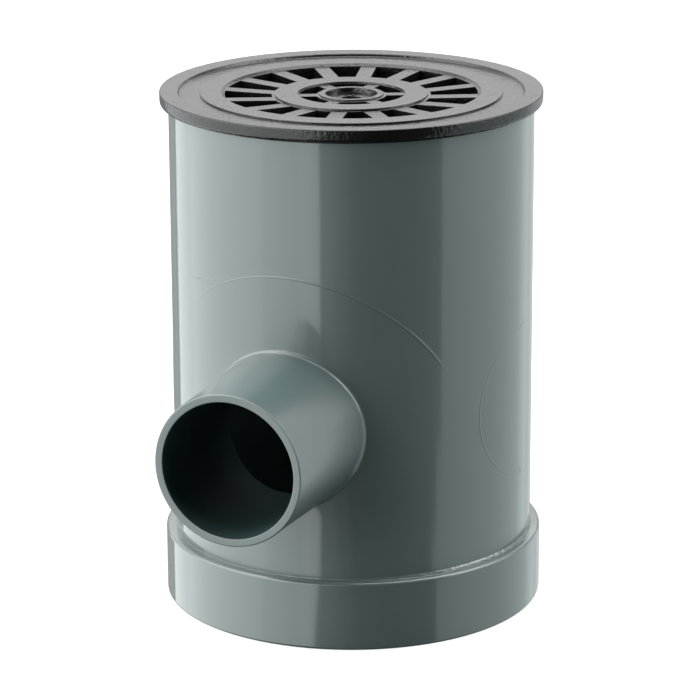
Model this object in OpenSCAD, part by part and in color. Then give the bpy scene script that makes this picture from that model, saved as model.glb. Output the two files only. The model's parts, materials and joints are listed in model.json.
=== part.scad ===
// Gully trap for a floor or yard drain: a glued PVC body with a lift-out grate.
// Millimetres, +Z up. The origin is the centre of the underside.
// The inlet socket points along -Y and the outlet socket along +Y.

/* [Body tube] */
// Outside diameter of the tube
body_od = 110; // [100:1:125]
// Wall of the tube
body_wall = 2.7; // [2.2:0.1:3.6]
// Length of the tube, from its lower end to the edge that the grate sits on
body_h = 150.8; // [145:0.1:200]
// Chamfer inside the tube's mouth, which leads the grate in
mouth_chamfer = 0.8; // [0.4:0.1:1.2]

/* [Base cap] */
// Floor of the cap
cap_floor = 3; // [2:0.1:5]
// Wall of the cap's skirt
cap_wall = 2.95; // [2:0.05:4]
// Height of the whole cap, up to its ledge
cap_h = 21.2; // [14:0.1:26]
// Radial gap of the cemented joint between the cap and the tube
cement_gap = 0.05; // [0.02:0.01:0.15]
// Rounding of the cap's lower edge
cap_round = 0.9; // [0.3:0.1:1.5]
// Rounding of the ledge's outer edge
ledge_round = 0.4; // [0.2:0.1:0.8]

/* [Sockets] */
// Height of both sockets' axis above the underside
socket_z = 66.5; // [62:0.5:80]
// Extra outside radius of each socket where it meets the tube, for mould draft
socket_draft = 1.1; // [0.3:0.1:2]
// Chamfer inside each socket's mouth
socket_chamfer = 0.4; // [0.2:0.1:1]
// Chamfer outside each socket's mouth
socket_edge = 0.4; // [0.2:0.1:0.8]
// Radius of the fillet where each socket meets the tube
root_fillet = 1; // [0.5:0.1:2]

/* [Inlet socket] */
// Length of the inlet socket beyond the tube
inlet_len = 39.5; // [30:0.5:60]
// Bore of the inlet socket, for a 40 mm pipe
inlet_bore_d = 40.4; // [32.4:0.2:45]
// Wall of the inlet socket at its mouth
inlet_wall = 2.4; // [1.8:0.1:3.5]

/* [Outlet socket] */
// Length of the outlet socket beyond the tube
outlet_len = 30; // [24:0.5:60]
// Bore of the outlet socket, for a 50 mm pipe
outlet_bore_d = 50.4; // [44:0.2:54]
// Wall of the outlet socket at its mouth
outlet_wall = 2.5; // [1.8:0.1:3.5]
// Distance from the outside of the tube out to the pipe stop
stop_out = 2; // [1:0.5:5]
// Width of the pipe stop
pipe_stop = 2.2; // [1.5:0.1:3]

/* [Dip duct] */
// Wall of the dip duct
duct_wall = 2.4; // [1.8:0.1:3.5]
// Depth of the duct, from the tube's inner wall to the duct's front
duct_depth = 32; // [26:0.5:36]
// Room on each side between the duct and the way out behind it
duct_margin = 1; // [0.5:0.1:2]
// Gap under the duct's lip, where the water passes
dip_gap = 12; // [8:0.5:20]
// Slope of the duct's roof, in degrees
roof_slope = 35; // [20:1:40]
// Height of the roof at the wall, above the top of the way out
roof_rise = 6; // [4:0.5:10]

/* [Grate flange] */
// Overhang of the flange beyond the tube
flange_over = 2.6; // [1.5:0.1:4]
// Thickness of the flange
flange_t = 4.2; // [3.5:0.1:6]
// Rounding of the flange's upper edge
flange_top_round = 0.4; // [0.2:0.1:1]
// Rounding of the flange's lower edge
flange_low_round = 1.5; // [0.5:0.1:2]
// Radial gap between the grate's skirt and the tube
skirt_gap = 0.3; // [0.1:0.05:0.6]
// Wall of the skirt
skirt_wall = 1.8; // [1.4:0.1:2.5]
// Length of the skirt below the flange
skirt_h = 12; // [8:0.5:20]

/* [Grate plate] */
// Thickness of the plate under its lowest ring
plate_t = 2.6; // [2:0.1:4]
// Fall of the flange's top from its edge to the plate
flange_fall = 0.3; // [0.1:0.1:0.8]
// Step down from the flange to the plate
panel_step = 0.9; // [0.5:0.1:1.5]
// Outside diameter of the raised ring round the slots
ring_d = 91; // [86:0.5:96]
// Height of the raised ring above the plate
ring_rise = 0.55; // [0.3:0.05:1]
// Inside diameter of the raised ring, round the outer slots
ring_in_d = 76.6; // [70:0.2:82]
// Step down from the raised ring to the spokes
spoke_step = 0.75; // [0.4:0.05:1.2]
// Fall of the spokes towards the middle ring
spoke_fall = 0.7; // [0.3:0.1:1]
// Outside diameter of the middle ring
middle_d = 46; // [44:0.5:52]
// Width of the middle ring
middle_w = 6.9; // [5:0.1:9]
// Height of the middle ring above the spokes
middle_rise = 0.55; // [0.3:0.05:1]
// Number of outer slots
outer_slots = 16; // [10:1:20]
// Width of an outer spoke
outer_spoke_w = 4.8; // [3.5:0.1:5.5]
// Land between the inner end of a slot and the ring or hub inside it
slot_land = 0.9; // [0.4:0.1:2]
// Land between the outer end of a slot and the ring outside it
slot_edge = 0.3; // [0.2:0.1:1]
// Number of inner slots
inner_slots = 6; // [4:1:8]
// Width of an inner spoke
inner_spoke_w = 3.8; // [2.5:0.1:4.5]
// Turn of the grate in the tube, in degrees
grate_turn = 25; // [0:0.5:45]

/* [Grate hub] */
// Outside diameter of the hub
hub_d = 19.4; // [17:0.1:21]
// Height of the hub above the inner spokes
hub_rise = 0.45; // [0.2:0.05:1]
// Diameter of the hub's counterbore
counterbore_d = 15.6; // [12:0.1:15.8]
// Depth of the hub's counterbore
counterbore_h = 1.5; // [1:0.1:2]
// Diameter of the hole through the hub
hub_hole_d = 5.8; // [4:0.1:8]

/* [Hidden] */
$fn = 96;
past = 1;            // how far a cutter runs past the face it cuts
arc_steps = 6;       // straight steps in a rounded edge
fillet_steps = 4;    // straight steps across a fillet
fillet_sections = 72;  // sections round a fillet
fillet_bury = 0.6;   // how far a fillet's buried corner lies inside the wall
fillet_sink = 0.04;  // how far a fillet's edges sink into the walls

body_r = body_od / 2;
chamber_r = body_r - body_wall;
mouth_z = cap_floor + body_h;

inlet_bore_r = inlet_bore_d / 2;
inlet_mouth_r = inlet_bore_r + inlet_wall;
inlet_reach = body_r + inlet_len;

outlet_bore_r = outlet_bore_d / 2;
outlet_mouth_r = outlet_bore_r + outlet_wall;
outlet_reach = body_r + outlet_len;
outlet_way_r = outlet_bore_r - pipe_stop;

duct_r = outlet_way_r + duct_margin;
duct_y = chamber_r - duct_depth + duct_r;
lip_z = cap_floor + dip_gap;
roof_wall_z = socket_z + outlet_way_r + roof_rise;

cap_bore_r = body_r + cement_gap;
cap_r = cap_bore_r + cap_wall;

flange_r = body_r + flange_over;
skirt_r = chamber_r - skirt_gap;
top_z = mouth_z + flange_t;
ring_r = ring_d / 2;
ring_in_r = ring_in_d / 2;
middle_r = middle_d / 2;
middle_in_r = middle_r - middle_w;
hub_r = hub_d / 2;

// Heights of the grate's top, ring by ring
panel_z = top_z - flange_fall - panel_step;
ring_z = panel_z + ring_rise;
spoke_out_z = ring_z - spoke_step;
spoke_in_z = spoke_out_z - spoke_fall;
middle_z = spoke_in_z + middle_rise;
hub_z = spoke_in_z + hub_rise;
plate_low_z = spoke_in_z - plate_t;

// Points of a quarter turn of radius r about [x, y], from angle a
function quarter(x, y, r, a) =
  [for (i = [0:arc_steps]) [x + r * cos(a + 90 * i / arc_steps), y + r * sin(a + 90 * i / arc_steps)]];

// Height of the underside of the duct's roof at a place y
function roof_z(y) = roof_wall_z - tan(roof_slope) * (chamber_r - y);

// Lays out a socket: the children's +Z axis points out along -Y, at the sockets' height
module toward_inlet() translate([0, 0, socket_z]) rotate([90, 0, 0]) children();

// The same for the outlet, along +Y
module toward_outlet() translate([0, 0, socket_z]) rotate([-90, 0, 0]) children();

// Outside radius of a socket, at a distance from the tube's axis
function socket_r(mouth_r, reach, at) = mouth_r + socket_draft * (reach - at) / (reach - body_r);

// The outside of a socket, a cone that widens towards the tube, with a chamfered mouth
module socket_outside(mouth_r, reach) {
  edge_at = reach - socket_edge;
  cylinder(h = edge_at, r1 = socket_r(mouth_r, reach, 0), r2 = socket_r(mouth_r, reach, edge_at));
  translate([0, 0, edge_at])
    cylinder(h = socket_edge, r1 = socket_r(mouth_r, reach, edge_at), r2 = mouth_r - socket_edge);
}

// Place of the fillet's ball, at an angle round the socket, as [across, up, out]
function ball(mouth_r, reach, a) =
  let (r = socket_r(mouth_r, reach, body_r) + root_fillet)
  [r * cos(a), r * sin(a), sqrt(pow(body_r + root_fillet, 2) - pow(r * cos(a), 2))];

// One section of the fillet: a corner buried in the wall, then the hollow arc from the tube to the socket
function fillet_section(mouth_r, reach, a) =
  let (
    c = ball(mouth_r, reach, a),
    to_tube = -[c[0], 0, c[2]] / norm([c[0], c[2]]),
    to_socket = -[cos(a), sin(a), 0],
    turn = acos(to_tube * to_socket),
    corner = c + (to_tube + to_socket) * (root_fillet + fillet_bury) / (1 + cos(turn))
  )
  concat(
    [corner],
    [for (i = [0:fillet_steps])
      let (t = i / fillet_steps)
      c + (to_tube * sin(turn * (1 - t)) + to_socket * sin(turn * t)) / sin(turn)
        * (root_fillet + (i == 0 || i == fillet_steps ? fillet_sink : 0))]
  );

// The fillet round a socket's root
module root_fillet_ring(mouth_r, reach) {
  n = fillet_steps + 2;
  points = [for (k = [0:fillet_sections - 1]) each fillet_section(mouth_r, reach, 360 * k / fillet_sections)];
  faces = [
    for (k = [0:fillet_sections - 1])
      for (i = [0:n - 1])
        let (
          a = k * n + i,
          b = k * n + (i + 1) % n,
          c = ((k + 1) % fillet_sections) * n + (i + 1) % n,
          d = ((k + 1) % fillet_sections) * n + i
        )
        each [[a, b, c], [a, c, d]]
  ];
  polyhedron(points, faces, convexity = 6);
}

// The bore of a socket, from a given distance out to its chamfered mouth
module socket_bore(bore_r, reach, from) {
  translate([0, 0, from])
    cylinder(h = reach - from + past, r = bore_r);
  translate([0, 0, reach - socket_chamfer])
    cylinder(h = socket_chamfer + past, r1 = bore_r, r2 = bore_r + socket_chamfer + past);
}

// A U-shaped prism under a sloping roof, grown outwards by a wall, from a given height up
module duct_form(grow, low_z)
  intersection() {
    translate([0, duct_y, low_z])
      linear_extrude(height = body_h) {
        circle(r = duct_r + grow);
        translate([-duct_r - grow, 0])
          square([2 * (duct_r + grow), body_r]);
      }
    rotate([90, 0, 90])
      translate([0, 0, -body_r])
        linear_extrude(height = body_od)
          polygon([
            [0, low_z - past],
            [body_r, low_z - past],
            [body_r, roof_z(body_r) + grow / cos(roof_slope)],
            [0, roof_z(0) + grow / cos(roof_slope)]
          ]);
  }

// The hood in front of the outlet: water has to dip under its lip to leave
module dip_duct()
  intersection() {
    difference() {
      duct_form(duct_wall, lip_z);
      duct_form(0, lip_z - past);
    }
    translate([0, 0, cap_floor])
      cylinder(h = body_h, r = chamber_r + body_wall / 2);
  }

module body() color([0.43, 0.48, 0.48]) {
  difference() {
    union() {
      translate([0, 0, cap_floor])
        cylinder(h = body_h, r = body_r);
      toward_inlet()
        socket_outside(inlet_mouth_r, inlet_reach);
      toward_outlet()
        socket_outside(outlet_mouth_r, outlet_reach);
      toward_inlet()
        root_fillet_ring(inlet_mouth_r, inlet_reach);
      toward_outlet()
        root_fillet_ring(outlet_mouth_r, outlet_reach);
    }
    translate([0, 0, cap_floor - past])
      cylinder(h = body_h + 2 * past, r = chamber_r);
    translate([0, 0, mouth_z - mouth_chamfer])
      cylinder(h = mouth_chamfer + past, r1 = chamber_r, r2 = chamber_r + mouth_chamfer + past);
    toward_inlet()
      socket_bore(inlet_bore_r, inlet_reach, 0);
    toward_outlet()
      socket_bore(outlet_bore_r, outlet_reach, body_r + stop_out);
    toward_outlet()
      cylinder(h = outlet_reach, r = outlet_way_r);
  }
  dip_duct();
}

module base_cap() color([0.43, 0.48, 0.48])
  rotate_extrude()
    polygon(concat(
      [[0, 0]],
      quarter(cap_r - cap_round, cap_round, cap_round, -90),
      quarter(cap_r - ledge_round, cap_h - ledge_round, ledge_round, 0),
      [[cap_bore_r, cap_h], [cap_bore_r, cap_floor], [0, cap_floor]]
    ));

// The whole round form of the grate, before its slots are cut
module grate_round()
  rotate_extrude()
    polygon(concat(
      [[0, plate_low_z], [skirt_r - skirt_wall, plate_low_z]],
      [[skirt_r - skirt_wall, mouth_z - skirt_h], [skirt_r - skirt_wall / 2, mouth_z - skirt_h]],
      [[skirt_r, mouth_z - skirt_h + skirt_wall], [skirt_r, mouth_z]],
      quarter(flange_r - flange_low_round, mouth_z + flange_low_round, flange_low_round, -90),
      quarter(flange_r - flange_top_round, top_z - flange_top_round, flange_top_round, 0),
      [[skirt_r, top_z - flange_fall], [skirt_r, panel_z], [ring_r, panel_z]],
      [[ring_r, ring_z], [ring_in_r, ring_z], [ring_in_r, spoke_out_z], [middle_r, spoke_in_z]],
      [[middle_r, middle_z], [middle_in_r, middle_z], [middle_in_r, spoke_in_z]],
      [[hub_r, spoke_in_z], [hub_r, hub_z], [0, hub_z]]
    ));

// A ring of slots between two rings of the plate, parted by straight spokes
module slots(in_r, out_r, count, spoke_w)
  difference() {
    translate([0, 0, plate_low_z - past])
      difference() {
        cylinder(h = top_z - plate_low_z + 2 * past, r = out_r - slot_edge);
        translate([0, 0, -past])
          cylinder(h = top_z - plate_low_z + 4 * past, r = in_r + slot_land);
      }
    for (i = [0:count - 1])
      rotate([0, 0, (i + 0.5) * 360 / count])
        translate([0, -spoke_w / 2, plate_low_z - 2 * past])
          cube([out_r + past, spoke_w, top_z - plate_low_z + 4 * past]);
  }

module grate() color([0.13, 0.13, 0.13])
  rotate([0, 0, grate_turn])
    difference() {
      grate_round();
      slots(middle_r, ring_in_r, outer_slots, outer_spoke_w);
      rotate([0, 0, 180 / inner_slots])
        slots(hub_r, middle_in_r, inner_slots, inner_spoke_w);
      translate([0, 0, hub_z - counterbore_h])
        cylinder(h = counterbore_h + past, d = counterbore_d);
      translate([0, 0, plate_low_z - past])
        cylinder(h = hub_z - plate_low_z + 2 * past, d = hub_hole_d);
    }

body();
base_cap();
grate();
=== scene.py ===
# %% [markdown]
# # A gully trap, dressed for its picture
# The real thing is a short length of grey PVC tube with a pipe socket on each side, a shallow cap
# cemented on below and a black grate dropped in on top. This script makes the same three pieces as
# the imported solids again, as fine, smoothly shaded meshes, gives them their plastics, and sets up
# the lamps and the camera. Everything is drawn in millimetres and brought to metres at the end,
# because that is how a maker reads the sizes.

import json
import math

import bmesh
import bpy
from mathutils import Matrix, Vector, noise


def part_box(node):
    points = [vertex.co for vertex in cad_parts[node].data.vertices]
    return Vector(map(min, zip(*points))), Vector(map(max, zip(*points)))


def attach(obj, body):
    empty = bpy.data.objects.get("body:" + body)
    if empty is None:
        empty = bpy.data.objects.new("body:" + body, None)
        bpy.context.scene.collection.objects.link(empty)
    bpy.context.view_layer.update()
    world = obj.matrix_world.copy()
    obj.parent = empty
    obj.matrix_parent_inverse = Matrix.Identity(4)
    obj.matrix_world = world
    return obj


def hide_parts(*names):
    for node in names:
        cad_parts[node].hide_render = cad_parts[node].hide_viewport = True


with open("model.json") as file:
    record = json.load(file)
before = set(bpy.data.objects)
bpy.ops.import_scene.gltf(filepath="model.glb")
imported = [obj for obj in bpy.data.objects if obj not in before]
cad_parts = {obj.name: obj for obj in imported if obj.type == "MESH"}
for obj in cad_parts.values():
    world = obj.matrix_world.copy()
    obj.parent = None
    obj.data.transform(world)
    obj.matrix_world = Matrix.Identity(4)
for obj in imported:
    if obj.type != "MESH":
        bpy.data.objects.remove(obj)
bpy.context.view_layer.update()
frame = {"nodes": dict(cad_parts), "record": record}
scene = bpy.context.scene
print("solids:", sorted(frame["nodes"]))

# %% [markdown]
# ## From a bmesh to an object
# A bmesh is Blender's own workshop for a mesh: shapes are made and changed there, and only the
# result becomes an object. Every piece ends the same way, so one helper does it. It merges doubled
# points, turns all faces outwards, scales to metres, and marks the edges that are really sharp, so
# that smooth shading doesn't smear round them. A Weighted Normal modifier then lets the large faces
# rule the shading, which keeps flats flat right up to a small rounded edge. Throughout, two places
# nearer than a hundredth of a millimetre count as one.

# %% Helper: finish a piece
MM = 0.001
NEAR = 0.01
SHARP = math.radians(38)


def finish_piece(bm, name, materials, body="root"):
    bmesh.ops.remove_doubles(bm, verts=bm.verts, dist=NEAR / 5)
    bmesh.ops.recalc_face_normals(bm, faces=bm.faces)
    bmesh.ops.scale(bm, vec=(MM, MM, MM), verts=bm.verts)
    mesh = bpy.data.meshes.new(name)
    bm.to_mesh(mesh)
    bm.free()
    mesh.shade_smooth()
    mesh.set_sharp_from_angle(angle=SHARP)
    for skin in materials:
        mesh.materials.append(skin)
    piece = bpy.data.objects.new(name, mesh)
    scene.collection.objects.link(piece)
    weighted = piece.modifiers.new("flats stay flat", "WEIGHTED_NORMAL")
    weighted.keep_sharp = True
    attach(piece, body)
    print(f"{name}: {len(mesh.vertices)} vertices, {len(mesh.polygons)} faces")
    return piece


def add_island(bm, part):
    """Puts a finished part of a moulding into the moulding's own bmesh."""
    carrier = bpy.data.meshes.new("carrier")
    part.to_mesh(carrier)
    part.free()
    bm.from_mesh(carrier)
    bpy.data.meshes.remove(carrier)


# %% [markdown]
# ## The moulded plastics
# Both plastics are dyed right through, so their colour hardly changes. What makes them look moulded
# is the gloss: PVC from a polished mould is almost a mirror, with a slow waviness where the wall has
# shrunk, while the grate's tool was left satin. Each material is a Principled shader whose
# roughness and bump come from noise, because one flat roughness looks like a computer drawing. A
# Mix node has sockets for numbers, vectors and colours, and the numbers below are its colour ones.

# %% Helper: a moulded plastic
MIX_FACTOR, MIX_A, MIX_B, MIX_RESULT = 0, 6, 7, 2
TINT_CLOUDS = (35, 3)
GLOSS_CLOUDS = (140, 4)
BUMP_DETAIL = 2


def moulded_plastic(name, dark, light, roughness, waviness, grain, skin=None):
    """A plastic between two tints. Waviness and grain are each a noise's scale and its depth in metres."""
    material = bpy.data.materials.new(name)
    material.use_nodes = True
    nodes = material.node_tree.nodes
    links = material.node_tree.links
    shader = nodes["Principled BSDF"]
    shader.inputs["IOR"].default_value = 1.5
    if skin:
        shader.inputs["Coat Weight"].default_value = 1
        shader.inputs["Coat Roughness"].default_value = skin
    place = nodes.new("ShaderNodeTexCoord")

    def clouds(scale, detail):
        cloud = nodes.new("ShaderNodeTexNoise")
        cloud.inputs["Scale"].default_value = scale
        cloud.inputs["Detail"].default_value = detail
        links.new(place.outputs["Object"], cloud.inputs["Vector"])
        return cloud.outputs["Fac"]

    tint = nodes.new("ShaderNodeMix")
    tint.data_type = "RGBA"
    tint.inputs[MIX_A].default_value = (*dark, 1)
    tint.inputs[MIX_B].default_value = (*light, 1)
    links.new(clouds(*TINT_CLOUDS), tint.inputs[MIX_FACTOR])
    links.new(tint.outputs[MIX_RESULT], shader.inputs["Base Color"])

    gloss = nodes.new("ShaderNodeMapRange")
    gloss.inputs["To Min"].default_value = roughness[0]
    gloss.inputs["To Max"].default_value = roughness[1]
    links.new(clouds(*GLOSS_CLOUDS), gloss.inputs["Value"])
    links.new(gloss.outputs["Result"], shader.inputs["Roughness"])

    normal = None
    for scale, depth in (waviness, grain):
        bump = nodes.new("ShaderNodeBump")
        bump.inputs["Distance"].default_value = depth
        bump.inputs["Strength"].default_value = 1
        links.new(clouds(scale, BUMP_DETAIL), bump.inputs["Height"])
        if normal:
            links.new(normal, bump.inputs["Normal"])
        normal = bump.outputs["Normal"]
    links.new(normal, shader.inputs["Normal"])
    if skin:
        links.new(normal, shader.inputs["Coat Normal"])
    return material


# %% [markdown]
# ## Four skins
# The tube has a smooth skin over a duller body, which is what a coat over a rougher base looks like.
# The sockets came out of the mould a little duller. In the bores there is no skin, and the grey is
# darker as painted shade, for the shadow deep inside a bore. The grate is nearly black, with a coarse
# grain.

# %% Grey PVC and black grate plastic
GREY_DARK, GREY_LIGHT = (0.0655, 0.096, 0.096), (0.0705, 0.103, 0.103)
pvc = moulded_plastic(
    "grey PVC",
    dark=GREY_DARK,
    light=GREY_LIGHT,
    roughness=(0.37, 0.43),
    waviness=(30, 0.00005),
    grain=(1500, 0.000001),
    skin=0.1,
)
socket_pvc = moulded_plastic(
    "grey PVC, duller",
    dark=GREY_DARK,
    light=GREY_LIGHT,
    roughness=(0.4, 0.46),
    waviness=(60, 0.00006),
    grain=(1500, 0.000002),
    skin=0.2,
)
# The same dyed PVC, its grey darkened as painted shade for the shadow inside the bores.
bore_pvc_painted_shade = moulded_plastic(
    "grey PVC, darkened in the bores as painted shade",
    dark=(0.016, 0.038, 0.038),
    light=(0.018, 0.042, 0.042),
    roughness=(0.5, 0.6),
    waviness=(60, 0.00003),
    grain=(1500, 0.000001),
)
satin = moulded_plastic(
    "black grate plastic",
    dark=(0.003, 0.003, 0.003),
    light=(0.006, 0.006, 0.0058),
    roughness=(0.18, 0.26),
    waviness=(60, 0.00003),
    grain=(800, 0.00019),
)
print("plastics:", [material.name for material in (pvc, socket_pvc, bore_pvc_painted_shade, satin)])

# %% [markdown]
# ## Sizes from the solids
# A dressed piece has to lie exactly on its solid, or it would look right and fit wrong. So the sizes
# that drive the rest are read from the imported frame: each solid's box, and the bores that the record
# states. Places come in metres, with single precision, and are rounded to a hundredth of a
# millimetre. Walls, drafts and gaps can't be read there, so each is a named value where it is used.

# %% Helper: read sizes from the frame


def in_mm(metres):
    return round(1000 * metres, 2)


def box_mm(node):
    """A node's lowest and highest corners."""
    return [[in_mm(c) for c in corner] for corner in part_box(node)]


bores = {mount["name"]: mount for mount in frame["record"]["mounts"] if mount["kind"] == "bore"}
print("bores in the record:", {name: bore["dims"]["r_mm"] for name, bore in bores.items()})

# %% [markdown]
# ## The body: a flat pattern, rolled up
# The tube is a sheet rolled into a ring, so it is drawn flat first: across is the way round the
# outside, up is the height. Two square windows are left in the flat grid, one for each socket, and
# each is filled with rings that pass from the square to the round root of the socket. Rolled up,
# the rings lie exactly on the tube, so a reflection runs through them without a dent. A boolean
# would be quicker to write, but its long thin triangles show up in a polished surface.

# %% Sizes of the body
body_low, body_high = box_mm("body")
BODY_R = max(-body_low[0], body_high[0])
BODY_WALL = 2.7
CHAMBER_R = BODY_R - BODY_WALL
TUBE_LOW, TUBE_HIGH = body_low[2], body_high[2]
BODY_COLUMNS = 288
WAY_ROUND = 2 * math.pi * BODY_R
WINDOW = WAY_ROUND / 8

SOCKET_Z = in_mm(bores["inlet_socket"]["pos_m"][2])
DRAFT = 1.1
INLET_R, OUTLET_R = (bores[name]["dims"]["r_mm"] for name in ("inlet_socket", "outlet_socket"))
INLET_WALL, OUTLET_WALL = 2.4, 2.5
STOP_WIDTH, STOP_OUT = 2.2, 2.0
STOP_Y = BODY_R + STOP_OUT
inlet = {
    "name": "inlet",
    "side": -1,
    "centre": 0.0,
    "reach": -body_low[1],
    "mouth": INLET_R + INLET_WALL,
    "bore": INLET_R,
    "way": INLET_R,
}
outlet = {
    "name": "outlet",
    "side": 1,
    "centre": WAY_ROUND / 2,
    "reach": body_high[1],
    "mouth": OUTLET_R + OUTLET_WALL,
    "bore": OUTLET_R,
    "way": OUTLET_R - STOP_WIDTH,
}
SOCKETS = (inlet, outlet)
print("tube:", BODY_R, "mm in radius, from", TUBE_LOW, "to", TUBE_HIGH, "mm up")

# %% [markdown]
# ## Small tools for edges and rings
# A socket tapers towards its mouth, for mould draft, so the radius of its root depends on how far
# out the tube's round wall lies at each angle, and a few rounds of correction find it. The other
# helpers pick out open edges, extrude them on the spot, and share a square's sides out over a circle.

# %% Helpers: roots, open edges and squares
ROUNDS_OF_CORRECTION = 5


def root_radius(socket, turn):
    """The socket's radius where its cone meets the tube, at an angle round the socket."""
    radius = socket["mouth"]
    for _ in range(ROUNDS_OF_CORRECTION):
        reach = math.sqrt(BODY_R**2 - (radius * math.cos(turn)) ** 2)
        radius = socket["mouth"] + DRAFT * (socket["reach"] - reach) / (socket["reach"] - BODY_R)
    return radius


def open_edges(bm, test):
    return [e for e in bm.edges if e.is_boundary and all(test(v.co) for v in e.verts)]


def extrude_ring(bm, edges):
    """Extrudes edges on the spot and returns the new points, ready to be moved."""
    grown = bmesh.ops.extrude_edge_only(bm, edges=edges)["geom"]
    return {g for g in grown if isinstance(g, bmesh.types.BMVert)}


def turn_on_square(u, w):
    """Even steps along a square's sides become even steps of angle round a circle."""
    if abs(u) >= abs(w):
        return math.pi / 4 * w / u + (math.pi if u < 0 else 0)
    return math.copysign(math.pi / 2, w) - math.pi / 4 * u / w


level, above = (round(root_radius(inlet, turn), 2) for turn in (0, math.pi / 2))
print("the inlet's root has a radius of", level, "mm level with its axis and", above, "mm above it")

# %% [markdown]
# ## Both sides of the wall
# The pattern is made twice, once for the outside of the wall and once for the inside, where the
# holes are only as wide as the way through. `create_grid` lays the middle band and its two long
# edges are extruded to the tube's ends. The edges of each square window are extruded too, and the
# new points are slid on to the round hole. Extruding keeps every point with its partner, where
# bridging two loops may pair them with a twist.

# %% Roll both sides of the wall
RINGS_IN_WINDOW = 8


def rolled_wall(wall_r, outside):
    bm = bmesh.new()
    upright = Matrix.Rotation(math.pi / 2, 4, "X")
    middle = Matrix.Translation((WAY_ROUND / 4, 0, SOCKET_Z)) @ upright
    bmesh.ops.create_grid(
        bm,
        x_segments=BODY_COLUMNS,
        y_segments=BODY_COLUMNS // 4,
        size=1,
        matrix=middle @ Matrix.Diagonal((WAY_ROUND / 2, WINDOW, 1, 1)),
    )
    for edge_z, end_z in ((SOCKET_Z + WINDOW, TUBE_HIGH), (SOCKET_Z - WINDOW, TUBE_LOW)):
        for v in extrude_ring(bm, open_edges(bm, lambda p: abs(p.z - edge_z) < NEAR)):
            v.co.z = end_z
    for socket in SOCKETS:
        centre = Vector((socket["centre"], 0, SOCKET_Z))

        def in_window(p):
            return max(abs(p.x - centre.x), abs(p.z - centre.z)) < WINDOW + NEAR

        window = [f for f in bm.faces if in_window(f.calc_center_median())]
        bmesh.ops.delete(bm, geom=window, context="FACES")
        ring = extrude_ring(bm, open_edges(bm, in_window))
        for v in ring:
            turn = turn_on_square(v.co.x - centre.x, v.co.z - centre.z)
            r = root_radius(socket, turn) if outside else socket["way"]
            v.co.x = centre.x + BODY_R * math.asin(r * math.cos(turn) / wall_r)
            v.co.z = centre.z + r * math.sin(turn)
        spokes = [e for v in ring for e in v.link_edges if e.other_vert(v) not in ring]
        bmesh.ops.subdivide_edges(bm, edges=spokes, cuts=RINGS_IN_WINDOW - 1, use_grid_fill=True)
    for v in bm.verts:
        turn = v.co.x / BODY_R
        v.co = (wall_r * math.sin(turn), -wall_r * math.cos(turn), v.co.z)
    bmesh.ops.remove_doubles(bm, verts=bm.verts, dist=NEAR)
    return bm


body = bmesh.new()
for wall_r, outside in ((BODY_R, True), (CHAMBER_R, False)):
    add_island(body, rolled_wall(wall_r, outside))
print("both sides of the tube's wall:", len(body.faces), "faces")

# %% [markdown]
# ## The sockets grow out of the wall
# Each socket starts at the ring of edges that was left open in the outer wall. The ring is extruded
# to the mouth, over the mouth's rim, back down the bore and on to the hole in the inner wall, where
# its points are merged with the hole's. The outlet's bore has a small step in it, the stop that a
# pipe is pushed against. The tube's two ends are closed in the same way, from outside to inside.

# %% Draw out both sockets
AWAY_FROM_WINDOW = 5


def draw_on(bm, ring, reach, radius):
    """Extrudes a ring to a circle about the socket's axis, at a reach, or else on the chamber's wall."""
    edges = [e for e in bm.edges if e.is_boundary and e.verts[0] in ring and e.verts[1] in ring]
    ring = extrude_ring(bm, edges)
    for v in ring:
        turn = math.atan2(v.co.z - SOCKET_Z, v.co.x)
        out = reach or math.sqrt(CHAMBER_R**2 - (radius * math.cos(turn)) ** 2)
        v.co = (radius * math.cos(turn), math.copysign(out, v.co.y), SOCKET_Z + radius * math.sin(turn))
    return ring


def at_root(p):
    near_axis = math.hypot(p.x, p.z - SOCKET_Z) < WINDOW - AWAY_FROM_WINDOW
    return near_axis and abs(math.hypot(p.x, p.y) - BODY_R) < NEAR


for socket in SOCKETS:
    hole = open_edges(body, lambda p: at_root(p) and p.y * socket["side"] > 0)
    ring = {v for e in hole for v in e.verts}
    steps = [(socket["reach"], socket["mouth"]), (socket["reach"], socket["bore"])]
    if socket["bore"] != socket["way"]:
        steps += [(STOP_Y, socket["bore"]), (STOP_Y, socket["way"])]
    for reach, radius in steps + [(None, socket["way"])]:
        ring = draw_on(body, ring, reach, radius)
    print(socket["name"], "socket:", len(ring), "points round its bore")

for end_z in (TUBE_LOW, TUBE_HIGH):
    rim = open_edges(body, lambda p: abs(p.z - end_z) < NEAR and math.hypot(p.x, p.y) > BODY_R - NEAR)
    for v in extrude_ring(body, rim):
        v.co.x, v.co.y = v.co.x * CHAMBER_R / BODY_R, v.co.y * CHAMBER_R / BODY_R
bmesh.ops.remove_doubles(body, verts=body.verts, dist=NEAR / 2)
print("open edges left:", len(open_edges(body, lambda p: True)))

# %% [markdown]
# ## Rounded roots and mouths
# No moulding has a knife edge: the root of a socket has a fillet a millimetre wide, and its thin
# highlight is what tells the eye that the socket and the tube are one piece. `bevel` with several
# segments makes it. The mouths and the tube's top edge get smaller ones. A bevel asks which way the
# faces beside it point, and where they disagree it may turn the wrong way, as one of these does.

# %% Bevel the body's edges
ROOT_FILLET = 1.0
MOUTH_ROUND = 0.4
TOP_ROUND_OUT, TOP_ROUND_IN = 0.3, 0.8


def bevel_ring(bm, edges, width, segments):
    bmesh.ops.bevel(
        bm,
        geom=edges,
        offset=width,
        offset_type="OFFSET",
        affect="EDGES",
        segments=segments,
        profile=0.5,
        clamp_overlap=True,
        material=-1,
    )


def edges_where(bm, test):
    return [e for e in bm.edges if all(test(v.co) for v in e.verts)]


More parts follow.
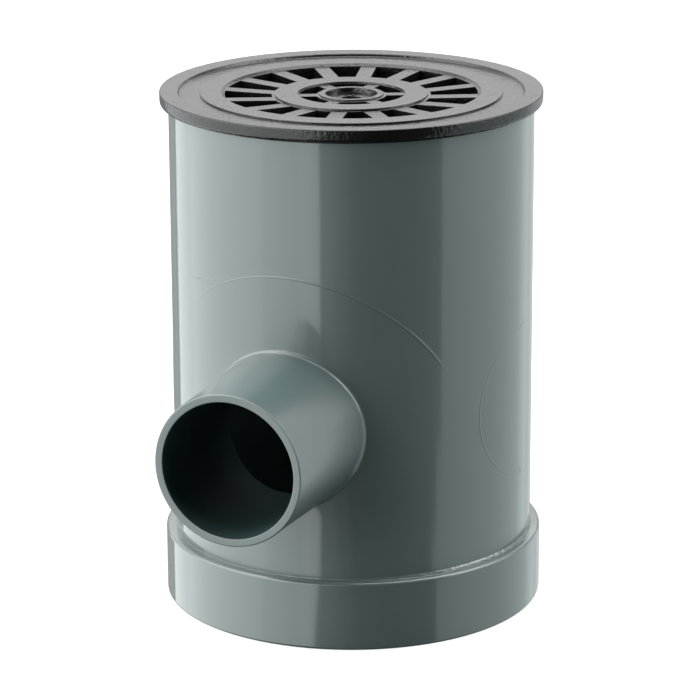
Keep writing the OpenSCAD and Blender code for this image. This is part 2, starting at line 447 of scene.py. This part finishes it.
for socket in SOCKETS:
    side, mouth, bore = socket["side"], socket["mouth"], socket["bore"]

    def root(p):
        turn = math.atan2(p.z - SOCKET_Z, p.x)
        off_root = math.hypot(p.x, p.z - SOCKET_Z) - root_radius(socket, turn)
        return p.y * side > 0 and abs(off_root) < NEAR and abs(math.hypot(p.x, p.y) - BODY_R) < NEAR

    def at_mouth(radius):
        def test(p):
            off_edge = abs(math.hypot(p.x, p.z - SOCKET_Z) - radius)
            return abs(p.y - side * socket["reach"]) < NEAR and off_edge < NEAR

        return test

    bevel_ring(body, edges_where(body, root), ROOT_FILLET, 4)
    bevel_ring(body, edges_where(body, at_mouth(mouth)), MOUTH_ROUND, 3)
    bevel_ring(body, edges_where(body, at_mouth(bore)), MOUTH_ROUND, 2)


def ring_at(bm, radius, height):
    """The edges of a ring about the upright axis, at a radius and a height."""
    return edges_where(bm, lambda p: abs(math.hypot(p.x, p.y) - radius) < NEAR and abs(p.z - height) < NEAR)


# Known fault: the inner wall's faces don't agree with the rim's here. So at some columns the rounding
# of the inner top edge turns upwards, by its own width, and not at the same columns in every run. The
# grate's flange hides it. bmesh.ops.recalc_face_normals on the body, before this loop, would cure it.
for radius, width in ((BODY_R, TOP_ROUND_OUT), (CHAMBER_R, TOP_ROUND_IN)):
    bevel_ring(body, ring_at(body, radius, TUBE_HIGH), width, 2)
print("body with its rounded edges:", len(body.faces), "faces")

# %% [markdown]
# ## The hood of the water seal
# Inside, in front of the outlet, the same moulding has a hood: a U-shaped wall under a sloping roof.
# Water has to dip under its lip to leave, and that keeps the drain's air out. It starts as the bent
# line of the U, made by spinning the last point of one leg through half a turn. The line is then
# extruded upwards, past where the roof will cut it. The legs end inside the tube's wall.

# %% Draw the hood's U
DUCT_R = 24.0
DUCT_DEPTH = 32.0
DUCT_Y = CHAMBER_R - DUCT_DEPTH + DUCT_R
DIP_GAP = 12.0
LIP_Z = TUBE_LOW + DIP_GAP
SHORT_OF_OUTSIDE = 0.8
DUCT_END = BODY_R - SHORT_OF_OUTSIDE
BEND_STEPS = 36

duct = bmesh.new()
leg_y = math.sqrt(DUCT_END**2 - DUCT_R**2)
start = duct.verts.new((DUCT_R, leg_y, LIP_Z))
knee = duct.verts.new((DUCT_R, DUCT_Y, LIP_Z))
duct.edges.new((start, knee))
turned = bmesh.ops.spin(
    duct,
    geom=[knee],
    cent=(0, DUCT_Y, LIP_Z),
    axis=(0, 0, 1),
    angle=-math.pi,
    steps=BEND_STEPS,
    use_merge=False,
)["geom_last"]
last = [v for v in turned if isinstance(v, bmesh.types.BMVert)][0]
grown = bmesh.ops.extrude_vert_indiv(duct, verts=[last])["verts"][0]
grown.co.y = leg_y
for v in extrude_ring(duct, list(duct.edges)):
    v.co.z = TUBE_HIGH
print("the hood's lip is", LIP_Z, "mm up, and its front", round(DUCT_Y - DUCT_R, 1), "mm from the axis")

# %% [markdown]
# ## Roof and thickness
# A plane cuts the U off at the slope of the roof. The roof's back edge follows the round wall, so a
# straight edge is laid between the two tips, divided, and bent on to it. Then one face closes the
# roof, and `solidify` gives the whole hood its wall.

# %% Roof the hood and give it its wall
DUCT_WALL = 2.4
ROOF_RISE = 6.0
ROOF_Z = SOCKET_Z + outlet["way"] + ROOF_RISE
ROOF_SLOPE = math.radians(35)
BACK_CUTS = 23

cut = bmesh.ops.bisect_plane(
    duct,
    geom=list(duct.verts) + list(duct.edges) + list(duct.faces),
    plane_co=(0, CHAMBER_R, ROOF_Z),
    plane_no=(0, -math.sin(ROOF_SLOPE), math.cos(ROOF_SLOPE)),
    clear_outer=True,
)["geom_cut"]
rim = [e for e in cut if isinstance(e, bmesh.types.BMEdge)]
rim_points = {v for e in rim for v in e.verts}
tips = sorted((v for v in rim_points if v.co.y > DUCT_Y + 1), key=lambda v: v.co.x)
back = duct.edges.new((tips[0], tips[-1]))
for v in bmesh.ops.subdivide_edges(duct, edges=[back], cuts=BACK_CUTS)["geom_split"]:
    if isinstance(v, bmesh.types.BMVert):
        v.co.y = math.sqrt(DUCT_END**2 - v.co.x**2)
        v.co.z = ROOF_Z + math.tan(ROOF_SLOPE) * (v.co.y - CHAMBER_R)
bmesh.ops.contextual_create(duct, geom=rim + [e for e in duct.edges if not e.link_faces])
bmesh.ops.recalc_face_normals(duct, faces=duct.faces)
bmesh.ops.solidify(duct, geom=list(duct.faces), thickness=-DUCT_WALL)
print("dip duct:", len(duct.faces), "faces, up to", round(max(v.co.z for v in duct.verts), 1), "mm")
add_island(body, duct)

# %% [markdown]
# ## Witness rings
# Where the mould's sliding cores close against its cavity they leave a hair-fine raised ring: one
# about the inlet, and a smaller one on each side of the tube, half way round. A tiny profile is
# spun flat about the core's axis and the ring is then draped over the tube, like a wire laid on it.
# The rings are partly worn away: each is highest at one angle and fades towards the opposite one.
# The cap covers whatever lies below its ledge, so the rings are cut off at that height.

# %% Drape the witness rings on the tube
BEAD_HALF_WIDTH = 0.45
BEAD_HEIGHT = 0.09
BEAD_SUNK = -0.05
SHOULDER = 0.8 * BEAD_HEIGHT
BEAD = ((-1, BEAD_SUNK), (-0.5, SHOULDER), (0, BEAD_HEIGHT), (0.5, SHOULDER), (1, BEAD_SUNK))
BEAD_STEPS = 288
TRACE_LEFT = 0.55
TRACE_FADE = 60
LEDGE_Z = box_mm("base_cap")[1][2]


def witness_ring(radius, side_x, side_y, strongest, fading, breaks_off):
    """A ring about a socket's height, highest at the angle `strongest` and lost opposite.

    Below the angle `breaks_off` only a trace of it is left, and that soon ends too.
    """
    bead = bmesh.new()
    points = [bead.verts.new((radius + u * BEAD_HALF_WIDTH, h, 0)) for u, h in BEAD]
    lines = [bead.edges.new((points[i], points[i - 1])) for i in range(len(points))]
    bmesh.ops.spin(
        bead,
        geom=points + lines,
        cent=(0, 0, 0),
        axis=(0, 1, 0),
        angle=2 * math.pi,
        steps=BEAD_STEPS,
        use_merge=True,
    )
    for v in bead.verts:
        along, height, up = v.co
        turn = math.degrees(math.atan2(up, along))
        worn = (0.5 + 0.5 * math.cos(math.radians(turn - strongest))) ** fading
        if breaks_off is not None and turn < breaks_off:
            worn *= max(0, TRACE_LEFT - (breaks_off - turn) / TRACE_FADE)
        height = BEAD_SUNK + (height - BEAD_SUNK) * worn
        out = math.sqrt((BODY_R + height) ** 2 - along**2)
        v.co = Vector((side_x * out - side_y * along, side_y * out + side_x * along, SOCKET_Z + up))
    everything = list(bead.verts) + list(bead.edges) + list(bead.faces)
    bmesh.ops.bisect_plane(
        bead, geom=everything, plane_co=(0, 0, LEDGE_Z), plane_no=(0, 0, -1), clear_outer=True
    )
    bmesh.ops.holes_fill(bead, edges=open_edges(bead, lambda p: True), sides=0)
    return bead


WITNESS_RINGS = (
    {"radius": 46.5, "side_x": 0, "side_y": -1, "strongest": 50, "fading": 1.5, "breaks_off": 25},
    {"radius": 23.0, "side_x": 1, "side_y": 0, "strongest": 190, "fading": 2, "breaks_off": None},
    {"radius": 23.0, "side_x": -1, "side_y": 0, "strongest": 350, "fading": 2, "breaks_off": None},
)
for ring in WITNESS_RINGS:
    add_island(body, witness_ring(**ring))
print(len(WITNESS_RINGS), "witness rings,", BEAD_HEIGHT, "mm high at most")

# %% [markdown]
# ## Small marks
# A few scuffs from handling. Each is a hair-fine raised line between two places on the tube, which
# are given as a turn about the upright axis in degrees and a height in millimetres. Its width and
# its own height follow. It is a small grid, lifted most along its middle, and rolled on to the tube.

# %% Lay the marks on the tube
STEPS_ALONG, STEPS_ACROSS = 24, 6


def laid_mark(start, end, width, height):
    mark = bmesh.new()
    bmesh.ops.create_grid(mark, x_segments=STEPS_ALONG, y_segments=STEPS_ACROSS, size=1)
    a, b = (Vector((BODY_R * math.radians(turn), z)) for turn, z in (start, end))
    sideways = Vector((a.y - b.y, b.x - a.x)).normalized() * width / 2
    for v in mark.verts:
        lift = (1 - v.co.y**2) * (1 - v.co.x**4)
        flat = a.lerp(b, (v.co.x + 1) / 2) + sideways * v.co.y
        r = BODY_R + BEAD_SUNK + (height - BEAD_SUNK) * lift
        v.co = (r * math.cos(flat.x / BODY_R), r * math.sin(flat.x / BODY_R), flat.y)
    return mark


MARKS = (
    ((-128.5, 106.6), (-117.0, 108.3), 0.7, 0.1),
    ((-118.0, 108.2), (-109.0, 110.2), 0.4, 0.06),
    ((-0.6, 45.3), (-0.3, 42.6), 0.5, 0.09),
    ((-3.2, 89.0), (3.0, 90.5), 0.6, 0.1),
)
for start, end, width, height in MARKS:
    add_island(body, laid_mark(start, end, width, height))
print(len(MARKS), "marks")

# %% [markdown]
# ## One moulding, three skins
# The body is one piece, and yet its sockets and bores have their own skins. A mesh can carry several
# materials, and each face says which one it wears, so the place of a face decides: within a bore, on
# a socket's outside, or anywhere else. The hood's front, near the middle, keeps the tube's skin.

# %% The sockets' own skins
SOCKET_SKIN, BORE_PAINTED_SHADE = 1, 2
PAST_MIDDLE = 20
OFF_BORE, OFF_TUBE = 0.1, 0.5
# Faces within a bore wear the darker grey, which is painted shade for the shadow inside the bores.
for face in body.faces:
    place = face.calc_center_median()
    off_axis = math.hypot(place.x, place.z - SOCKET_Z)
    socket = inlet if place.y < 0 else outlet
    if off_axis < socket["bore"] + OFF_BORE and abs(place.y) > PAST_MIDDLE:
        face.material_index = BORE_PAINTED_SHADE
    elif off_axis < socket["mouth"] + 2 * DRAFT and math.hypot(place.x, place.y) > BODY_R + OFF_TUBE:
        face.material_index = SOCKET_SKIN
body_piece = finish_piece(body, "trap_body", [pvc, socket_pvc, bore_pvc_painted_shade])
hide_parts("body")

# %% [markdown]
# ## The base cap
# The cap is a shallow cup, so it is a turned shape: one outline, spun about the upright axis. Its
# corners are drawn sharp and bevelled afterwards, which is easier to read and to change than an
# outline full of arc points. The tube stands on its floor, with a hair of cement round it.

# %% Spin the base cap
COLUMNS = 192
CAP_R = box_mm("base_cap")[1][0]
CEMENT_GAP = 0.05
CAP_BORE_R = BODY_R + CEMENT_GAP
CAP_FLOOR = TUBE_LOW
CAP_ROUND = 0.9


def turned_shape(outline, steps, closed):
    bm = bmesh.new()
    points = [bm.verts.new((r, 0, z)) for r, z in outline]
    lines = [bm.edges.new(pair) for pair in zip(points, points[1:])]
    if closed:
        lines.append(bm.edges.new((points[-1], points[0])))
    bmesh.ops.spin(
        bm,
        geom=points + lines,
        cent=(0, 0, 0),
        axis=(0, 0, 1),
        angle=2 * math.pi,
        steps=steps,
        use_merge=True,
    )
    bmesh.ops.remove_doubles(bm, verts=bm.verts, dist=NEAR / 10)
    bmesh.ops.recalc_face_normals(bm, faces=bm.faces)
    return bm


outside_of_cap = [(0, 0), (CAP_R, 0), (CAP_R, LEDGE_Z)]
inside_of_cap = [(CAP_BORE_R, LEDGE_Z), (CAP_BORE_R, CAP_FLOOR), (0, CAP_FLOOR)]
cap = turned_shape(outside_of_cap + inside_of_cap, COLUMNS, closed=False)
for height in (0, LEDGE_Z):
    bevel_ring(cap, ring_at(cap, CAP_R, height), CAP_ROUND, 4)
print("base cap:", len(cap.faces), "faces")

# %% [markdown]
# ## Cement at the ledge
# Solvent cement is pushed out of the joint when the cap goes on, and it sets as an uneven bead. The
# bead is turned at its full size, and each of its outer points is then drawn back towards the joint.
# It stays thickest at the near right, and noise makes it lumpy.

# %% Squeeze out the cement
GLUE = ((-0.2, -0.2), (0.7, -0.05), (0.6, 0.3), (0.35, 0.7), (-0.2, 1.0))
GLUE_ROOT_R = BODY_R - 0.05
GLUE_SHOWS_R = BODY_R + 0.1
GLUE_THINNEST, GLUE_SWELL, GLUE_LEAST = 0.15, 0.75, 0.05
GLUE_THICKEST_AT = -0.2
LUMPS_MEAN = 0.9
LUMPS = ((0.35, 0.5), (0.3, 1.6))

glue = turned_shape([(BODY_R + out, LEDGE_Z + up) for out, up in GLUE], 3 * COLUMNS, closed=True)
for v in glue.verts:
    r, turn = math.hypot(v.co.x, v.co.y), math.atan2(v.co.y, v.co.x)
    if r > GLUE_SHOWS_R:
        thick = GLUE_THINNEST + GLUE_SWELL * max(0, math.cos(turn - GLUE_THICKEST_AT)) ** 2
        lumps = LUMPS_MEAN + sum(size * noise.noise(v.co * scale) for size, scale in LUMPS)
        grow = max(GLUE_LEAST, thick * lumps)
        v.co.x, v.co.y = (c * (GLUE_ROOT_R + (r - GLUE_ROOT_R) * grow) / r for c in v.co.xy)
        v.co.z = LEDGE_Z + (v.co.z - LEDGE_Z) * grow
add_island(cap, glue)
cap_piece = finish_piece(cap, "trap_base_cap", [pvc])
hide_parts("base_cap")

# %% [markdown]
# ## The grate
# The grate is turned as well: flange, skirt, a raised ring, a dished plate, a middle ring and a hub.
# Its outline runs from the flange's top edge inwards over all of these, down through the hub's hole,
# out again below the plate and round the skirt. The points between the rings' edges are where the
# slots will begin and end, and where their sides are shaped.

# %% Spin the grate's outline
grate_low, grate_high = box_mm("grate")
FLANGE_R, TOP_Z = grate_high[0], grate_high[2]
FLANGE_LOW = TUBE_HIGH
STEP_TOP, STEP_FOOT = (52.1, 157.7), (51.6, 156.8)
RING_R, RING_IN_R, RING_FOOT_R, RING_Z = 45.5, 39.0, 38.3, 157.35
DISH_LOW, DISH_RISE = 155.9, 0.7
MIDDLE_R, MIDDLE_IN_R, MIDDLE_Z = 23.0, 16.1, 156.45
HUB_R, HUB_Z = 9.7, 156.35
COUNTERBORE_R, COUNTERBORE_Z = 7.8, 154.85
HOLE_R = bores["hub_hole"]["dims"]["r_mm"]
PLATE_LOW = 153.3
SKIRT_LOW, SKIRT_R, SKIRT_IN_R = grate_low[2], 52.0, 50.2
LEAD_IN, LEAD_IN_HEIGHT = 0.9, 1.8
OUTER = {"count": 16, "spoke": 4.8, "inside": 23.9, "outside": 38.0, "first_spoke": 6, "half": 2}
INNER = {"count": 6, "spoke": 3.8, "inside": 10.6, "outside": 15.8, "first_spoke": 0, "half": 4}


def spoke_top(r):
    """Height of the dished plate's top between the middle ring and the raised ring."""
    return DISH_LOW + DISH_RISE * (r - MIDDLE_R) / (RING_FOOT_R - MIDDLE_R)


outer_stations = (38.0, 34.0, 30.5, 27.0, 23.9)
inner_stations = (15.8, 13.2, 10.6)
flange = [(FLANGE_R, TOP_Z), STEP_TOP, STEP_FOOT]
raised_ring = [(RING_R, STEP_FOOT[1]), (RING_R, RING_Z), (RING_IN_R, RING_Z)]
dish = [(r, spoke_top(r)) for r in (RING_FOOT_R, *outer_stations, MIDDLE_R)]
middle_ring = [(MIDDLE_R, MIDDLE_Z), (MIDDLE_IN_R, MIDDLE_Z)]
inner_plate = [(r, DISH_LOW) for r in (MIDDLE_IN_R, *inner_stations, HUB_R)]
hub = [(HUB_R, HUB_Z), (COUNTERBORE_R, HUB_Z), (COUNTERBORE_R, COUNTERBORE_Z), (HOLE_R, COUNTERBORE_Z)]
below = (HOLE_R, *reversed(inner_stations), *reversed(outer_stations), SKIRT_IN_R)
under = [(r, PLATE_LOW) for r in below]
lead_in = [(SKIRT_R - LEAD_IN, SKIRT_LOW), (SKIRT_R, SKIRT_LOW + LEAD_IN_HEIGHT)]
skirt = [(SKIRT_IN_R, SKIRT_LOW), *lead_in, (SKIRT_R, FLANGE_LOW), (FLANGE_R, FLANGE_LOW)]
outline = flange + raised_ring + dish + middle_ring + inner_plate + hub + under + skirt
grate = turned_shape(outline, COLUMNS, closed=True)
print("turned grate:", len(grate.faces), "faces")

# %% [markdown]
# ## Slots between parallel spokes
# The turned mesh has 192 columns, which both 16 outer and 6 inner slots share out evenly, so the
# faces of a slot can be deleted above and below. The columns are then shifted a little at each
# radius, so that a spoke's sides run parallel, and the slot's upper rim is extruded down to the
# lower one to make its walls. A boolean would do it too, and would leave ragged faces behind.

# %% Open the slots
COLUMN = 2 * math.pi / COLUMNS


def polar(p):
    return math.hypot(p.x, p.y), math.atan2(p.y, p.x) % (2 * math.pi)


for ring in (OUTER, INNER):
    pitch = COLUMNS // ring["count"]

    def in_slot(face):
        place = int(polar(face.calc_center_median())[1] / COLUMN) - ring["first_spoke"]
        reach = [polar(v.co)[0] for v in face.verts]
        return (
            ring["half"] <= place % pitch < pitch - ring["half"]
            and min(reach) > ring["inside"] - NEAR
            and max(reach) < ring["outside"] + NEAR
        )

    bmesh.ops.delete(grate, geom=[f for f in grate.faces if in_slot(f)], context="FACES")
    for v in grate.verts:
        r, turn = polar(v.co)
        if ring["inside"] - NEAR < r < ring["outside"] + NEAR:
            place = (round(turn / COLUMN) - ring["first_spoke"] + pitch // 2) % pitch - pitch // 2
            spoke = round(turn / COLUMN) - place
            edge = math.asin(ring["spoke"] / 2 / r)
            beyond = (abs(place) - ring["half"]) / (pitch / 2 - ring["half"])
            if abs(place) <= ring["half"]:
                shifted = edge * abs(place) / ring["half"]
            else:
                shifted = edge + (math.pi / ring["count"] - edge) * beyond
            turn = spoke * COLUMN + math.copysign(shifted, place)
            v.co.x, v.co.y = r * math.cos(turn), r * math.sin(turn)
    rims = open_edges(grate, lambda p: p.z > PLATE_LOW + 1)
    for v in extrude_ring(grate, rims):
        v.co.z = PLATE_LOW
    bmesh.ops.remove_doubles(grate, verts=grate.verts, dist=NEAR / 2)
    print(ring["count"], "slots with", len(rims) // ring["count"], "edges each")
print("open edges left:", len(open_edges(grate, lambda p: True)))

# %% [markdown]
# ## The grate's edges
# The flange has a small round above and a large one below, where a thumb lifts the grate out. Every
# other crisp edge of the plate gets a very narrow bevel, which is all that a satin edge needs to
# catch the light. The grate is drawn with an inner spoke on the X axis, and lies 25 degrees further.

# %% Round the grate's edges, and turn it to its place
GRATE_TURN = math.radians(25)
CRISP = math.radians(35)
CRISP_WITHIN_R = 53
CRISP_BEVEL, STEP_ROUND = 0.13, 0.25
FLANGE_ROUND_ABOVE, FLANGE_ROUND_BELOW = 0.4, 1.5
bmesh.ops.recalc_face_normals(grate, faces=grate.faces)
bevel_ring(grate, ring_at(grate, FLANGE_R, TOP_Z), FLANGE_ROUND_ABOVE, 3)
bevel_ring(grate, ring_at(grate, *STEP_TOP) + ring_at(grate, *STEP_FOOT), STEP_ROUND, 3)
bevel_ring(grate, ring_at(grate, FLANGE_R, FLANGE_LOW), FLANGE_ROUND_BELOW, 5)
crisp = [
    e
    for e in grate.edges
    if len(e.link_faces) == 2
    and e.calc_face_angle() > CRISP
    and min(v.co.z for v in e.verts) > PLATE_LOW + 1
    and max(polar(v.co)[0] for v in e.verts) < CRISP_WITHIN_R
]
bevel_ring(grate, crisp, CRISP_BEVEL, 2)
bmesh.ops.rotate(grate, cent=(0, 0, 0), matrix=Matrix.Rotation(GRATE_TURN, 3, "Z"), verts=grate.verts)
grate_piece = finish_piece(grate, "trap_grate", [satin])
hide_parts("grate")

# %% [markdown]
# ## The floor
# The floor is a plain sheet that runs out of the picture. It doesn't show in the gloss of the
# plastic, which leaves the cards' reflections whole down to the foot.

# %% Lay the floor
FLOOR_HALF = 4
floor_mesh = bmesh.new()
bmesh.ops.create_grid(floor_mesh, x_segments=1, y_segments=1, size=FLOOR_HALF)
floor_data = bpy.data.meshes.new("studio_floor")
floor_mesh.to_mesh(floor_data)
floor_mesh.free()
floor = bpy.data.objects.new("studio_floor", floor_data)
scene.collection.objects.link(floor)
floor.visible_glossy = False
floor.visible_shadow = False
print("floor:", 2 * FLOOR_HALF, "m wide")

# %% [markdown]
# ## Pale paper
# The floor's matt grey takes the trap's shadow without throwing much light up at it, and a glow that
# only the camera sees lifts it to white. The glow is a little weaker near the trap, so that the
# shadow there stays visible.

# %% Give the floor its paper
FLOOR_GREY = 0.25
paper = bpy.data.materials.new("pale floor")
paper.use_nodes = True
nodes, links = paper.node_tree.nodes, paper.node_tree.links
nodes.clear()
matt = nodes.new("ShaderNodeBsdfDiffuse")
matt.inputs["Color"].default_value = (FLOOR_GREY, FLOOR_GREY, FLOOR_GREY, 1)
place = nodes.new("ShaderNodeTexCoord")
distance = nodes.new("ShaderNodeVectorMath")
distance.operation = "LENGTH"
links.new(place.outputs["Object"], distance.inputs[0])
fade = nodes.new("ShaderNodeMapRange")
for setting, value in (("From Min", 0.1), ("From Max", 0.45), ("To Min", 0.78), ("To Max", 1.0)):
    fade.inputs[setting].default_value = value
links.new(distance.outputs["Value"], fade.inputs["Value"])
seen = nodes.new("ShaderNodeLightPath")
strength = nodes.new("ShaderNodeMath")
strength.operation = "MULTIPLY"
links.new(seen.outputs["Is Camera Ray"], strength.inputs[0])
links.new(fade.outputs["Result"], strength.inputs[1])
glow = nodes.new("ShaderNodeEmission")
links.new(strength.outputs[0], glow.inputs["Strength"])
both = nodes.new("ShaderNodeAddShader")
links.new(matt.outputs[0], both.inputs[0])
links.new(glow.outputs[0], both.inputs[1])
out = nodes.new("ShaderNodeOutputMaterial")
links.new(both.outputs[0], out.inputs["Surface"])
floor_data.materials.append(paper)
print("floor's nodes:", len(nodes))

# %% [markdown]
# ## Lamps
# Glossy plastic shows two things at once: its own matt colour, and a mirror picture of whatever
# stands round it. Soft boxes left, right, overhead, behind and at the front left give both. Each is
# a flat lamp between two corners, and says how bright it looks, not how much power it draws, so a
# box can change its size without changing its look.

# %% Soft boxes
VIEW_TURN = math.radians(22.083)
WHITE = (1, 1, 1)


def soft_box(name, corner_a, corner_b, radiance, on_matt=True, colour=WHITE):
    """A flat lamp between two corners given as the camera sees them, in metres: right, away and up.

    The corners share one coordinate, and the lamp shines along that axis towards the trap.
    """
    a, b = Vector(corner_a), Vector(corner_b)
    centre, span = (a + b) / 2, b - a
    axis = min(range(3), key=lambda i: abs(span[i]))
    sides = [abs(span[i]) for i in range(3) if i != axis]
    lamp = bpy.data.lights.new(name, "AREA")
    lamp.shape = "RECTANGLE"
    lamp.size, lamp.size_y = sides
    lamp.energy = radiance * math.pi * sides[0] * sides[1]
    lamp.color = colour
    box = bpy.data.objects.new(name, lamp)
    scene.collection.objects.link(box)
    facing = Vector([-centre[i] if i == axis else 0 for i in range(3)])
    turn = facing.to_track_quat("-Z", "Y").to_matrix().to_4x4()
    box.matrix_world = Matrix.Rotation(VIEW_TURN, 4, "Z") @ Matrix.Translation(centre) @ turn
    box.visible_camera = False
    box.visible_diffuse = on_matt


# Where two boxes overlap, their light adds up, as long as they don't lie in one plane.
soft_box("left", (-0.8, -1.96, 0.1), (-0.8, 0.27, 1.07), 3.1)
soft_box("left middle", (-0.82, -1.07, 0.1), (-0.82, 0.27, 1.07), 1.4)
soft_box("left far end", (-0.8, 0.27, 0.1), (-0.8, 1.15, 1.07), 1.4)
soft_box("right", (0.8, -0.53, 0.1), (0.8, 0.27, 1.07), 2.5)
soft_box("right upper", (0.82, -0.27, 0.45), (0.82, 0.27, 1.07), 2.9)
soft_box("right far end", (0.8, 0.27, 0.1), (0.8, 1.15, 1.07), 0.8)
soft_box("overhead", (-0.8, -0.27, 1.07), (0.8, 0.31, 1.07), 5.5)
soft_box("overhead far end", (-0.8, 0.31, 1.08), (0.8, 1.15, 1.08), 2.3)
soft_box("back high", (-0.8, 1.2, 0.45), (0.8, 1.2, 1.07), 1.9)
soft_box("back low", (-0.8, 1.2, 0.18), (0.8, 1.2, 0.45), 0.95)
soft_box("front left", (-0.8, -2.0, 0.05), (-0.18, -2.0, 1.07), 0.95)
print("soft boxes:", len(bpy.data.lights))

# %% [markdown]
# ## Cards for the gloss
# The tube's upright wall is seen from a little above, so it mirrors what lies below it, and there a
# studio lays out cards: a long bright one on the left, a weaker one on the right, and hardly
# anything in front, which keeps the middle of the tube dark between two upright edges. The cards
# are lamps that only the gloss sees, and their paper is a cool grey-green, like the plastic's hue.

# %% Lay out the cards
COOL, COOLER = (0.96, 1, 1), (0.9, 1, 1)
for name, corner_a, corner_b, radiance, paper_colour in (
    ("left card", (-0.8, -2.25, -0.8), (-0.8, 1.05, 0.1), 2.1, COOL),
    ("left card near end", (-0.81, -2.25, -0.8), (-0.81, -1.3, 0.1), 0.4, COOL),
    ("left card middle", (-0.82, -0.55, -0.8), (-0.82, 0.45, 0.1), 0.4, COOL),
    ("right card", (0.8, -0.53, -0.8), (0.8, 0.72, 0.1), 0.95, COOLER),
    ("right card low", (0.8, -0.6, -0.8), (0.8, -0.53, -0.25), 0.95, COOLER),
    ("right card lowest", (0.8, -0.66, -0.8), (0.8, -0.6, -0.32), 0.95, COOLER),
    ("right card far end", (0.8, 0.72, -0.8), (0.8, 1.2, 0.1), 1.15, COOLER),
    ("back card", (-0.8, 1.2, -0.8), (0.8, 1.2, 0.0), 0.36, COOL),
    ("back card right", (0.3, 1.19, -0.8), (0.8, 1.19, 0.0), 0.45, COOL),
    ("front card", (-0.65, -2.0, -0.8), (-0.05, -2.0, -0.1), 0.15, COOL),
    ("front card left end", (-0.65, -2.02, -0.8), (-0.35, -2.02, -0.1), 0.15, COOL),
):
    soft_box(name, corner_a, corner_b, radiance, on_matt=False, colour=paper_colour)
print("soft boxes and cards:", len(bpy.data.lights))

# %% [markdown]
# ## World
# The boxes and cards light everything, so the air itself is nearly dark. Only the camera sees it as
# white, and that makes the background behind the trap.

# %% White for the camera, dark for the rest
DARK_AIR = 0.005
world = bpy.data.worlds.new("studio")
scene.world = world
world.use_nodes = True
nodes, links = world.node_tree.nodes, world.node_tree.links
air = nodes["Background"]
air.inputs["Strength"].default_value = 1
path = nodes.new("ShaderNodeLightPath")
choose = nodes.new("ShaderNodeMix")
choose.data_type = "RGBA"
choose.inputs[MIX_A].default_value = (DARK_AIR, DARK_AIR, DARK_AIR, 1)
choose.inputs[MIX_B].default_value = (1, 1, 1, 1)
links.new(path.outputs["Is Camera Ray"], choose.inputs[MIX_FACTOR])
links.new(choose.outputs[MIX_RESULT], air.inputs["Color"])
print("world's nodes:", len(nodes))

# %% [markdown]
# ## Camera
# A long lens from well back keeps the tube's sides almost parallel, as in a catalogue picture, and
# it looks down at about 17 degrees. Standard view transform, so a colour renders as it is written.

# %% Camera and view
CAMERA_PLACE = (0.36209, -0.89252, 0.36548)
CAMERA_TURN = math.radians(22.125)
CAMERA_TILT = math.radians(73.262)
CAMERA_ROLL = math.radians(-0.2414)
LENS_MM, SENSOR_MM = 168.4, 36
NEAREST_SEEN = 0.05
lens = bpy.data.cameras.new("camera")
lens.lens = LENS_MM
lens.sensor_width = SENSOR_MM
lens.clip_start = NEAREST_SEEN
camera = bpy.data.objects.new("camera", lens)
scene.collection.objects.link(camera)
camera.matrix_world = (
    Matrix.Translation(CAMERA_PLACE)
    @ Matrix.Rotation(CAMERA_TURN, 4, "Z")
    @ Matrix.Rotation(CAMERA_TILT, 4, "X")
    @ Matrix.Rotation(CAMERA_ROLL, 4, "Z")
)
scene.camera = camera
scene.view_settings.view_transform = "Standard"
print("camera:", round(Vector(CAMERA_PLACE).length, 2), "m from the trap's foot")
